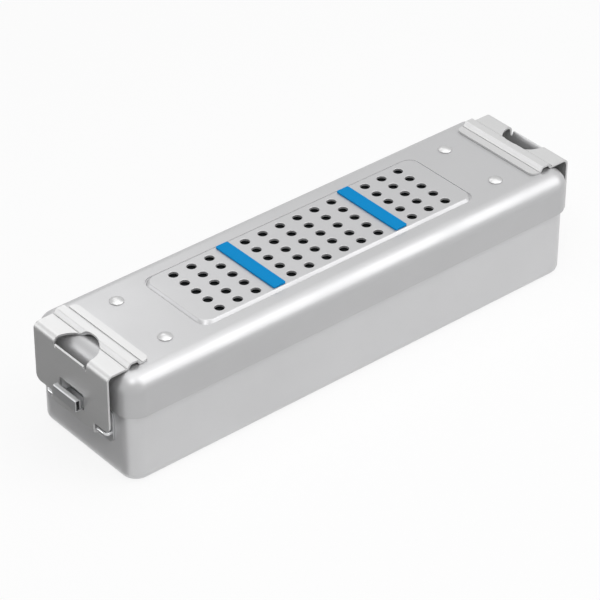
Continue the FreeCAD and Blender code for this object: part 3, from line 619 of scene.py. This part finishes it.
class CONTAINER_OT_lid(bpy.types.Operator):
    """Draw the lid with its deep skirt, raise its panel and punch the steam holes"""

    bl_idname = "container.lid"
    bl_label = "Lid"

    # Radii of the rolled hole rims, the panel's crest and the lid's rim, and the pressed line's
    # width, which is also its depth.
    rolled, crest_edge, rim_edge, score = 0.25 * MM, 0.4 * MM, 0.3 * MM, 0.4 * MM

    def draw_skin(self, name, sizes, inset, panel_out, score=0.0):
        """One side of the lid's sheet, with the raised panel and the fine line pressed round it."""
        end, side = LID_HIGH.x - inset, LID_HIGH.y - inset
        crest_level = LID_HIGH.z - inset
        top = crest_level - sizes.panel_rise
        skin = add_block(name, (-end, -side, LID_LOW.z), (end, side, top))
        pick("FACE", lambda x, y, z: near(z, LID_LOW.z))
        bpy.ops.mesh.delete(type="ONLY_FACE")
        pick("EDGE", lambda x, y, z: True, along=2)
        round_off(sizes.lid_corner - inset, 12)
        pick("EDGE", lambda x, y, z: near(z, top))
        round_off(sizes.lid_edge - inset, 12)
        pick("FACE", lambda x, y, z: near(z, top))
        bpy.ops.mesh.delete(type="ONLY_FACE")

        crest = (sizes.panel_length / 2 + panel_out, sizes.panel_width / 2 + panel_out)
        foot = (crest[0] + sizes.panel_slope, crest[1] + sizes.panel_slope)
        rim = (foot[0] + score, foot[1] + score)
        bpy.ops.mesh.primitive_plane_add(size=1.0, location=(0.0, 0.0, top))
        bpy.ops.transform.resize(
            value=(2 * rim[0], 2 * rim[1], 1.0), center_override=(0.0, 0.0, top)
        )
        pick("VERT", lambda x, y, z: near(abs(x), rim[0]) and near(abs(y), rim[1]))
        round_off(sizes.panel_corner + sizes.panel_slope + panel_out + score, 12, "VERTICES")

        def on_panel(x, y, z):
            return near(z, top) and abs(x) < rim[0] + SLACK and abs(y) < rim[1] + SLACK

        pick("FACE", on_panel)
        bpy.ops.mesh.delete(type="ONLY_FACE")
        pick("EDGE", lambda x, y, z: near(z, top))
        bpy.ops.mesh.fill()
        pick("EDGE", on_panel)
        if score:
            draw_out(0.0, 0.0, -score)
            draw_to((0.0, 0.0, 0.0), (foot[0] / rim[0], foot[1] / rim[1], 1.0), (0.0, 0.0, top))
        draw_to(
            (0.0, 0.0, sizes.panel_rise + score),
            (crest[0] / foot[0], crest[1] / foot[1], 1.0),
            (0.0, 0.0, crest_level),
        )
        bpy.ops.mesh.edge_face_add()
        pick_all()
        bpy.ops.mesh.normals_make_consistent(inside=False)
        put_down()
        return skin

    def close_sheet(self, lid, inside):
        """Joins the two skins along the rim."""
        take_up(inside, editing=True)
        pick_all()
        bpy.ops.mesh.flip_normals()
        take_up(lid)
        inside.select_set(True)
        bpy.ops.object.join()
        bpy.ops.object.mode_set(mode="EDIT")
        pick("EDGE", lambda x, y, z: near(z, LID_LOW.z))
        bpy.ops.mesh.bridge_edge_loops()
        turn_outwards(lid)

    def punch_holes(self, lid, radius):
        """Punches the steam holes with a flared punch, which leaves their upper rims rolled."""
        top, steps, beyond = LID_HIGH.z, 3, 4 * MM
        profile = [(radius, top - self.rolled)]
        for step in range(1, steps + 1):
            angle = math.pi / 2 * step / steps
            width = radius + self.rolled * (1 - math.cos(angle))
            profile.append((width, top - self.rolled * (1 - math.sin(angle))))
        # The last step runs on through the sheet's top, so that the cut is clean.
        profile[-1] = tuple(2 * last - one for last, one in zip(profile[-1], profile[-2]))
        profile.append((profile[-1][0], top + beyond))

        centre = (HOLE_COLUMNS[0], HOLE_ROWS[0], top - beyond)
        width, level = radius, centre[2]
        punch = add_disc("punch", centre, radius, 32)
        for new_width, new_level in profile:
            ratio = new_width / width
            draw_to((0.0, 0.0, new_level - level), (ratio, ratio, 1.0), centre)
            width, level = new_width, new_level
        for axis, places in ((0, HOLE_COLUMNS), (1, HOLE_ROWS)):
            pick_all()
            for here, there in zip(places, places[1:]):
                step = [0.0, 0.0, 0.0]
                step[axis] = there - here
                copy_on(step)
        turn_outwards(punch)
        cut_out(lid, punch)

    def execute(self, context):
        sizes = context.scene.container_sheet
        # Under the panel's slope the sheet keeps its thickness across the slope.
        slope = math.atan2(sizes.panel_rise, sizes.panel_slope)
        under_panel = -sizes.wall * math.tan(slope / 2)
        lid = self.draw_skin("lid", sizes, 0.0, 0.0, self.score)
        inside = self.draw_skin("lid_inside", sizes, sizes.wall, under_panel)
        self.close_sheet(lid, inside)
        take_up(lid, editing=True)
        pick("EDGE", lambda x, y, z: near(z, LID_HIGH.z))
        round_off(self.crest_edge, 3)
        self.punch_holes(lid, sizes.hole_radius)
        take_up(lid, editing=True)
        pick("FACE", lambda x, y, z: near(z, LID_LOW.z))
        bpy.ops.mesh.region_to_loop()
        round_off(self.rim_edge, 2)
        soften(lid, 0.0, flats=True)
        hand_over(lid, "lid", "anodised_lid_sheet", "lid_shell")
        return {"FINISHED"}


class CONTAINER_OT_strips(bpy.types.Operator):
    """Lay the two blue marking strips across the panel"""

    bl_idname = "container.strips"
    bl_label = "Marking strips"

    edge = 0.2 * MM

    def execute(self, context):
        size = STRIP_HIGH - STRIP_LOW
        middle = ((STRIP_LOW.x + STRIP_HIGH.x) / 2, 0.0, STRIP_LOW.z)
        strip = add_sheet("marking_strip_right", middle, size.x, size.y)
        pick("VERT", lambda x, y, z: True)
        round_off(context.scene.container_fittings.strip_corner, 5, "VERTICES")
        pick_all()
        draw_out(0.0, 0.0, size.z)
        turn_outwards(strip)
        soften(strip, self.edge, 3, flats=True)
        on_lid = ("lid", "lid")
        hand_over_both(strip, on_lid, "blue_polypropylene", "colour_strip")
        return {"FINISHED"}


class CONTAINER_OT_lid_rivets(bpy.types.Operator):
    """Set the four dome-headed rivets of the filter clips into the lid"""

    bl_idname = "container.lid_rivets"
    bl_label = "Lid rivets"

    # Radii of the tail and the shank, heights of the tail and of the head's brim, the radius of
    # the edges, and how far a rivet stands from the lid's middle.
    tail, shank, tail_height, brim, edge = 2.3 * MM, 1.5 * MM, 0.8 * MM, 0.4 * MM, 0.12 * MM
    side = 17.0 * MM

    def execute(self, context):
        head = context.scene.container_fittings.rivet_head
        seat = LID_HIGH.z - context.scene.container_sheet.panel_rise
        x, y = (RIVET_LOW.x + RIVET_HIGH.x) / 2, self.side
        centre = (x, y, 0.0)
        pair = add_disc("lid_rivets_right", (x, y, RIVET_LOW.z), self.tail, 32)
        draw_out(0.0, 0.0, self.tail_height)
        step_round(self.shank / self.tail, centre)
        draw_out(0.0, 0.0, seat - RIVET_LOW.z - self.tail_height)
        step_round(head / self.shank, centre)
        draw_out(0.0, 0.0, self.brim)
        raise_dome(centre, head, RIVET_HIGH.z - seat - self.brim, 2, 7)
        pick_all()
        copy_on((0.0, -2 * y, 0.0))
        turn_outwards(pair)
        soften(pair, self.edge)
        on_lid = ("lid", "lid")
        hand_over_both(pair, on_lid, "bright_rivet_aluminium", "clip_rivets")
        return {"FINISHED"}


class CONTAINER_OT_brackets(bpy.types.Operator):
    """Cut the bracket plates of the tub's end walls"""

    bl_idname = "container.brackets"
    bl_label = "Brackets"

    edge = 0.15 * MM

    def execute(self, context):
        size = BRACKET_HIGH - BRACKET_LOW
        middle = (BRACKET_HIGH.x, 0.0, (BRACKET_LOW.z + BRACKET_HIGH.z) / 2)
        bracket = add_sheet("bracket_right", middle, size.z, size.y, FACING_END)
        pick("VERT", lambda x, y, z: True)
        round_off(context.scene.container_fittings.bracket_corner, 8, "VERTICES")
        pick_all()
        draw_out(-size.x, 0.0, 0.0)
        turn_outwards(bracket)
        soften(bracket, self.edge, flats=True)
        on_tub = ("base", "base")
        hand_over_both(bracket, on_tub, "stainless_fittings", "latch_bracket")
        return {"FINISHED"}


class CONTAINER_OT_bracket_rivets(bpy.types.Operator):
    """Rivet the bracket plates to the tub's end walls"""

    bl_idname = "container.bracket_rivets"
    bl_label = "Bracket rivets"

    # The shank's radius, heights of the tail and of the head's brim, and the radius of the edges.
    shank, tail_height, brim, edge = 1.2 * MM, 0.8 * MM, 0.2 * MM, 0.08 * MM

    def execute(self, context):
        head = context.scene.container_fittings.stud_head
        wall_in = TUB_HIGH.x - context.scene.container_sheet.wall
        y, z = STUD_HIGH.y - head, (STUD_LOW.z + STUD_HIGH.z) / 2
        centre = (0.0, y, z)
        pair = add_disc("bracket_studs_right", (STUD_LOW.x, y, z), head, 24, FACING_END)
        draw_out(self.tail_height, 0.0, 0.0)
        step_round(self.shank / head, centre, (1, 2))
        draw_out(BRACKET_HIGH.x - wall_in, 0.0, 0.0)
        step_round(head / self.shank, centre, (1, 2))
        draw_out(self.brim, 0.0, 0.0)
        raise_dome(centre, head, STUD_HIGH.x - BRACKET_HIGH.x - self.brim, 0, 5)
        pick_all()
        copy_on((0.0, -2 * y, 0.0))
        turn_outwards(pair)
        soften(pair, self.edge)
        on_tub = ("base", "base")
        hand_over_both(pair, on_tub, "bright_rivet_aluminium", "bracket_rivets")
        return {"FINISHED"}


class CONTAINER_OT_hinge_wires(bpy.types.Operator):
    """Bend the two hinge wires"""

    bl_idname = "container.hinge_wires"
    bl_label = "Hinge wires"

    def execute(self, context):
        radius = WIRE_HIGH.x - HINGE.x
        bend = context.scene.container_fittings.wire_bend
        side = WIRE_HIGH.y - radius
        knee, short = HINGE.x - bend, side - bend
        start = (BRACKET_HIGH.x, -side, HINGE.z)
        wire = add_disc("hinge_wire_bent_right", start, radius, 20, FACING_END)
        draw_out(knee - BRACKET_HIGH.x, 0.0, 0.0)
        for centre_y, run in ((-short, 2 * short), (short, 0.0)):
            bpy.ops.mesh.spin(
                steps=8,
                angle=-math.pi / 2,
                center=(knee, centre_y, HINGE.z),
                axis=(0.0, 0.0, 1.0),
            )
            if run:
                draw_out(0.0, run, 0.0)
        draw_out(BRACKET_HIGH.x - knee, 0.0, 0.0)
        turn_outwards(wire)
        soften(wire, 0.0)
        on_tub = ("base", "base")
        hand_over_both(wire, on_tub, "drawn_steel_wire", "hinge_wire")
        return {"FINISHED"}


class CONTAINER_OT_seal_eyes(bpy.types.Operator):
    """Fold the two seal eyes from strip"""

    bl_idname = "container.seal_eyes"
    bl_label = "Seal eyes"

    # The tube's underside and its back, and the radii inside a fold and of the edges.
    floor, back, fold, edge = 29.6 * MM, 133.6 * MM, 0.1 * MM, 0.1 * MM

    def execute(self, context):
        sheet = context.scene.container_fittings.eye_sheet
        half = sheet / 2
        # The strip is drawn along its middle, from its welded foot round the tube and back.
        start = (BRACKET_HIGH.x + half, self.floor + half)
        folds = (
            (EYE_HIGH.x - half, self.floor + half),
            (EYE_HIGH.x - half, EYE_HIGH.z - half),
            (self.back + half, EYE_HIGH.z - half),
            (self.back + half, self.floor + sheet + half),
        )
        eye = add_sheet(
            "seal_eye_folded_right",
            (start[0], 0.0, (EYE_LOW.z + start[1]) / 2),
            start[1] - EYE_LOW.z,
            EYE_HIGH.y - EYE_LOW.y,
            FACING_END,
        )
        pick("EDGE", lambda x, y, z: near(z, start[1]))
        here = start
        for x, z in folds:
            draw_out(x - here[0], 0.0, z - here[1])
            here = (x, z)
        corners = [start, *folds[:-1]]
        pick(
            "EDGE",
            lambda x, y, z: any(near(x, corner[0]) and near(z, corner[1]) for corner in corners),
            along=1,
        )
        round_off(half + self.fold, 4)
        thicken(eye, sheet, 0.0)
        turn_outwards(eye)
        soften(eye, self.edge)
        on_tub = ("base", "base")
        hand_over_both(eye, on_tub, "stainless_fittings", "seal_eye")
        return {"FINISHED"}


class CONTAINER_OT_latches(bpy.types.Operator):
    """Form the two latch plates: rolled knuckle, bend, stiffening bead, finger window and slot"""

    bl_idname = "container.latches"
    bl_label = "Latches"

    # Gap between the knuckle and its wire, and how far the sheet is rolled round it.
    knuckle_gap, knuckle_turn = 0.05 * MM, math.radians(270.0)
    # Radii of the bead's crest and foot, of the pull lip's end and of all other edges.
    crest_round, foot_round, lip_round, edge = 0.35 * MM, 0.3 * MM, 0.4 * MM, 0.12 * MM
    # The lines pressed beside the bead: width, depth and distance from the bead's foot.
    line_width, line_depth, line_out = 0.5 * MM, 0.4 * MM, 0.6 * MM
    # The finger window's centre along X, the level of its sill, and how high its cut reaches.
    window_centre, sill, window_reach = 131.0 * MM, 51.2 * MM, 20 * MM
    # The seal eye's slot: half its width, its lower and upper edge, and its corners.
    slot_side, slot_low, slot_high, slot_corner = 8.5 * MM, 29.0 * MM, 37.34 * MM, 0.8 * MM
    # How far a cut reaches past the sheet.
    through = 3 * MM

    def fold_sheet(self, sizes, face, top, feet):
        """The sheet's outer face, folded over the lid's edge and rolled under at the hinge."""
        side, knuckle, low = LATCH_HIGH.y, sizes.knuckle_width / 2, HINGE.z + sizes.wing_edge
        middle = (face, 0.0, (low + top) / 2)
        latch = add_sheet("latch_formed_right", middle, top - low, 2 * side, FACING_END)
        pick("EDGE", lambda x, y, z: near(z, top))
        inner, outer = feet
        here = (face, top)
        for x, z in (
            (outer, top),
            (outer - sizes.bead_slope, LATCH_HIGH.z),
            (inner + sizes.bead_slope, LATCH_HIGH.z),
            (inner, top),
            (LATCH_LOW.x, top),
        ):
            draw_out(x - here[0], 0.0, z - here[1])
            here = (x, z)
        pick(
            "VERT",
            lambda x, y, z: near(abs(y), side) and (near(z, low) or near(x, LATCH_LOW.x)),
        )
        round_off(sizes.corner, 6, "VERTICES")
        for cut in (-knuckle, knuckle):
            pick_all()
            bpy.ops.mesh.bisect(plane_co=(0.0, cut, 0.0), plane_no=(0.0, 1.0, 0.0))
        pick("EDGE", lambda x, y, z: near(x, face) and near(z, top), along=1)
        round_off(sizes.bend, 12)
        pick("EDGE", lambda x, y, z: near(z, low) and abs(y) < knuckle + SLACK, along=1)
        draw_out(0.0, 0.0, HINGE.z - low)
        bpy.ops.mesh.spin(steps=18, angle=-self.knuckle_turn, center=HINGE, axis=(0.0, 1.0, 0.0))
        face_out(latch, lambda x, y, z: near(x, face), 0)
        return latch

    def press_bead(self, latch, top, feet):
        """Rounds the bead and cuts the fine lines that the press leaves beside it."""
        take_up(latch, editing=True)
        pick("EDGE", lambda x, y, z: near(z, LATCH_HIGH.z), along=1)
        round_off(self.crest_round, 3)
        pick(
            "EDGE",
            lambda x, y, z: near(z, top) and any(near(x, foot) for foot in feet),
            along=1,
        )
        round_off(self.foot_round, 3)
        inner, outer = feet
        half, side = self.line_width / 2, LATCH_HIGH.y + self.through
        for x in (outer + self.line_out, inner - self.line_out):
            line = add_block(
                "line",
                (x - half, -side, top - self.line_depth),
                (x + half, side, top + self.line_depth),
            )
            cut_out(latch, line)

    def cut_slot(self, latch, face):
        """Cuts the slot that the seal eye stands through."""
        slot = add_block(
            "slot",
            (face - self.through, -self.slot_side, self.slot_low),
            (face + self.through, self.slot_side, self.slot_high),
        )
        pick("EDGE", lambda x, y, z: True, along=0)
        round_off(self.slot_corner, 4)
        cut_out(latch, slot)

    def open_window(self, latch, sizes, face):
        """Cuts the finger window and turns its lower edge out as a pull lip."""
        centre = (self.window_centre, 0.0, self.sill + self.window_reach / 2)
        window = add_rod("window", centre, sizes.window_radius, self.window_reach, 64)
        cut_out(latch, window)

        def on_sill(x, y, z):
            return near(z, self.sill) and abs(y) < sizes.window_radius

        take_up(latch, editing=True)
        for side in (-sizes.pull_side, sizes.pull_side):
            pick("FACE", on_sill)
            bpy.ops.mesh.bisect(plane_co=(0.0, side, 0.0), plane_no=(0.0, 1.0, 0.0))
        pick("FACE", lambda x, y, z: on_sill(x, y, z) and abs(y) < sizes.pull_side + SLACK)
        middle = (face + sizes.pull_bend, 0.0, self.sill)
        bpy.ops.mesh.spin(steps=8, angle=-sizes.pull_turn, center=middle, axis=(0.0, 1.0, 0.0))

        def on_end(x, y, z):
            return any(
                near(x, middle[0] - reach * math.cos(sizes.pull_turn))
                and near(z, self.sill + reach * math.sin(sizes.pull_turn))
                for reach in (sizes.pull_bend, sizes.pull_bend + sizes.steel)
            )

        pick("EDGE", on_end, along=1)
        round_off(self.lip_round, 3)

    def execute(self, context):
        sizes = context.scene.container_latch
        face = WIRE_HIGH.x + self.knuckle_gap + sizes.steel
        top = LATCH_HIGH.z - sizes.bead_rise
        feet = (LID_HIGH.x - sizes.bead_inner, LID_HIGH.x - sizes.bead_outer)
        latch = self.fold_sheet(sizes, face, top, feet)
        thicken(latch, sizes.steel)
        self.press_bead(latch, top, feet)
        self.cut_slot(latch, face)
        self.open_window(latch, sizes, face)
        turn_outwards(latch)
        soften(latch, self.edge, flats=True)
        on_wires = ("latch_right", "latch_left")
        hand_over_both(latch, on_wires, "brushed_latch_steel", "latch_plate")
        return {"FINISHED"}


class CONTAINER_OT_inner_parts(bpy.types.Operator):
    """Finish the seal, the filter and what holds them under the lid"""

    bl_idname = "container.inner_parts"
    bl_label = "Seal and filter"

    looks = {
        "lid_gasket": "silicone_rubber",
        "filter_sheet": "filter_fleece",
        "gasket_frame": "stainless_fittings",
        "filter_cover": "stainless_fittings",
        "filter_clip_right": "stainless_fittings",
        "filter_clip_left": "stainless_fittings",
    }

    def execute(self, context):
        for node, look in self.looks.items():
            NODES[node].data.materials.clear()
            NODES[node].data.materials.append(finish(look))
        return {"FINISHED"}


class CONTAINER_OT_studio(bpy.types.Operator):
    """Set up the floor, the studio light and the camera"""

    bl_idname = "container.studio"
    bl_label = "Studio"

    # Each softbox: its place, width, height, power in watts, and whether it only shows as shine.
    softboxes = {
        "overhead": ((0.0, -0.1, 1.3), 1.6, 1.5, 10.0, False),
        "key": ((0.75, -0.85, 0.95), 1.3, 1.1, 5.0, False),
        "streak": ((0.75, -0.85, 0.98), 1.3, 1.2, 5.0, True),
        "corner": ((-0.62, -0.5, 1.1), 0.4, 0.4, 2.0, False),
        "rim": ((-0.85, 0.75, 0.42), 0.8, 0.5, 1.6, True),
        "top_sheen": ((0.12, 0.5, 0.52), 0.3, 0.3, 0.4, True),
    }
    aim = Vector((0.0, 0.0, 30 * MM))
    # The sky's strength as plain light, and the share of the paper that glows for the camera.
    sky_light, paper_glow = 0.3, 0.85
    # The floor lies just under the container, and the card of painted shade a little over the
    # floor.
    floor_size, floor_level = 6.0, -0.2 * MM
    card_place, card_size = (-0.33, 0.22, -0.1 * MM), (0.4, 0.5)
    # The camera's place, its turns about X, Y and Z in degrees, and its lens and film in mm.
    camera_place, camera_turn = (-0.68671, -0.81007, 0.77006), (54.83248, -0.10828, -39.93478)
    lens_length, film_width = 173.79, 36.0

    def seen_by(self, tree):
        """1 for what the camera sees, straight or in metal or glass, and 0 for plain light."""
        rays = add_node(tree, "ShaderNodeLightPath")
        seen = add_node(
            tree,
            "ShaderNodeMath",
            {"operation": "MAXIMUM"},
            {0: rays.outputs["Is Camera Ray"], 1: rays.outputs["Is Glossy Ray"]},
        )
        return add_node(
            tree,
            "ShaderNodeMath",
            {"operation": "MAXIMUM"},
            {0: seen.outputs[0], 1: rays.outputs["Is Transmission Ray"]},
        ).outputs[0]

    def light_world(self, scene):
        """White for the camera and in reflections, and a plain soft light from all round."""
        world = bpy.data.worlds.new("studio")
        world.use_nodes = True
        tree = world.node_tree
        tree.nodes.clear()
        strength = add_node(
            tree,
            "ShaderNodeMapRange",
            {"To Min": self.sky_light, "To Max": 1.0},
            {"Value": self.seen_by(tree)},
        )
        sky = add_node(
            tree,
            "ShaderNodeBackground",
            {"Color": (1.0, 1.0, 1.0, 1.0)},
            {"Strength": strength.outputs["Result"]},
        )
        output = add_node(tree, "ShaderNodeOutputWorld")
        tree.links.new(sky.outputs["Background"], output.inputs["Surface"])
        scene.world = world

    def lay_floor(self):
        """White paper that glows for the camera but keeps some of the container's shadow."""
        put_down()
        bpy.ops.mesh.primitive_plane_add(
            size=self.floor_size, location=(0.0, 0.0, self.floor_level)
        )
        floor = bpy.context.object
        floor.name = "floor"
        material, tree, output = new_material("white_paper")
        matt = add_node(tree, "ShaderNodeBsdfDiffuse", {"Color": linear("#F8F8F8")})
        glow = add_node(
            tree, "ShaderNodeEmission", {"Color": (1.0, 1.0, 1.0, 1.0), "Strength": 1.0}
        )
        share = add_node(
            tree,
            "ShaderNodeMath",
            {"operation": "MULTIPLY", 1: self.paper_glow},
            {0: self.seen_by(tree)},
        )
        both = add_node(
            tree,
            "ShaderNodeMixShader",
            None,
            {0: share.outputs[0], 1: matt.outputs[0], 2: glow.outputs[0]},
        )
        tree.links.new(both.outputs[0], output.inputs["Surface"])
        floor.data.materials.append(material)

    def lay_card(self):
        """A grey card by the near end, seen only in the metal: a painted dark reflection that
        stands in for shade and darkens that end.
        """
        put_down()
        bpy.ops.mesh.primitive_plane_add(size=1.0, location=self.card_place)
        card = bpy.context.object
        card.name = "grey_card"
        card.scale = (*self.card_size, 1.0)
        bpy.ops.object.transform_apply(location=True, rotation=True, scale=True)
        for kind in ("camera", "diffuse", "transmission", "shadow"):
            setattr(card, "visible_" + kind, False)
        material, tree, output = new_material("grey_paper")
        # The card's grey is painted shade, seen in the metal of the near end as a darker
        # reflection.
        matt = add_node(tree, "ShaderNodeBsdfDiffuse", {"Color": linear("#969696")})
        tree.links.new(matt.outputs[0], output.inputs["Surface"])
        card.data.materials.append(material)

    def hang_softboxes(self, scene):
        """Area lamps that aim at the container's middle."""
        for name, (place, width, height, power, shine_only) in self.softboxes.items():
            lamp = bpy.data.lights.new(name, "AREA")
            lamp.shape = "RECTANGLE"
            lamp.size = width
            lamp.size_y = height
            lamp.energy = power
            holder = bpy.data.objects.new(name, lamp)
            holder.location = place
            holder.visible_diffuse = not shine_only
            holder.rotation_mode = "QUATERNION"
            holder.rotation_quaternion = (self.aim - Vector(place)).to_track_quat("-Z", "Y")
            scene.collection.objects.link(holder)

    def place_camera(self, scene):
        """The photograph's viewpoint: a long lens high over the near corner of the front."""
        lens = bpy.data.cameras.new("camera")
        lens.sensor_width = self.film_width
        lens.lens = self.lens_length
        lens.clip_start = 0.05
        lens.clip_end = 30.0
        camera = bpy.data.objects.new("camera", lens)
        camera.location = self.camera_place
        camera.rotation_euler = [math.radians(angle) for angle in self.camera_turn]
        scene.collection.objects.link(camera)
        scene.camera = camera

    def execute(self, context):
        context.scene.view_settings.view_transform = "Standard"
        self.light_world(context.scene)
        self.lay_floor()
        self.lay_card()
        self.hang_softboxes(context.scene)
        self.place_camera(context.scene)
        return {"FINISHED"}


GROUPS = {
    "container_sheet": ContainerSheet,
    "container_latch": ContainerLatch,
    "container_fittings": ContainerFittings,
    "container_colours": ContainerColours,
}
OPERATORS = (
    CONTAINER_OT_tub,
    CONTAINER_OT_lid,
    CONTAINER_OT_strips,
    CONTAINER_OT_lid_rivets,
    CONTAINER_OT_brackets,
    CONTAINER_OT_bracket_rivets,
    CONTAINER_OT_hinge_wires,
    CONTAINER_OT_seal_eyes,
    CONTAINER_OT_latches,
    CONTAINER_OT_inner_parts,
    CONTAINER_OT_studio,
)


class CONTAINER_PT_panel(bpy.types.Panel):
    """Sizes, colours and steps of the container"""

    bl_idname = "CONTAINER_PT_panel"
    bl_label = "Sterilization container"
    bl_space_type = "VIEW_3D"
    bl_region_type = "UI"
    bl_category = "Container"

    def draw(self, context):
        for place, group in GROUPS.items():
            box = self.layout.box()
            box.label(text=group.__doc__)
            settings = getattr(context.scene, place)
            for name in group.__annotations__:
                box.prop(settings, name)
        for operator in OPERATORS:
            self.layout.operator(operator.bl_idname)


def register():
    for place, group in GROUPS.items():
        bpy.utils.register_class(group)
        setattr(bpy.types.Scene, place, PointerProperty(type=group))
    for item in (*OPERATORS, CONTAINER_PT_panel):
        bpy.utils.register_class(item)


def unregister():
    for item in reversed((*OPERATORS, CONTAINER_PT_panel)):
        bpy.utils.unregister_class(item)
    for place, group in reversed(GROUPS.items()):
        delattr(bpy.types.Scene, place)
        bpy.utils.unregister_class(group)


def main():
    register()
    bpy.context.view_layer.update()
    bpy.ops.container.tub()
    bpy.ops.container.lid()
    bpy.ops.container.strips()
    bpy.ops.container.lid_rivets()
    bpy.ops.container.brackets()
    bpy.ops.container.bracket_rivets()
    bpy.ops.container.hinge_wires()
    bpy.ops.container.seal_eyes()
    bpy.ops.container.latches()
    bpy.ops.container.inner_parts()
    bpy.ops.container.studio()


if __name__ == "__main__":
    main()
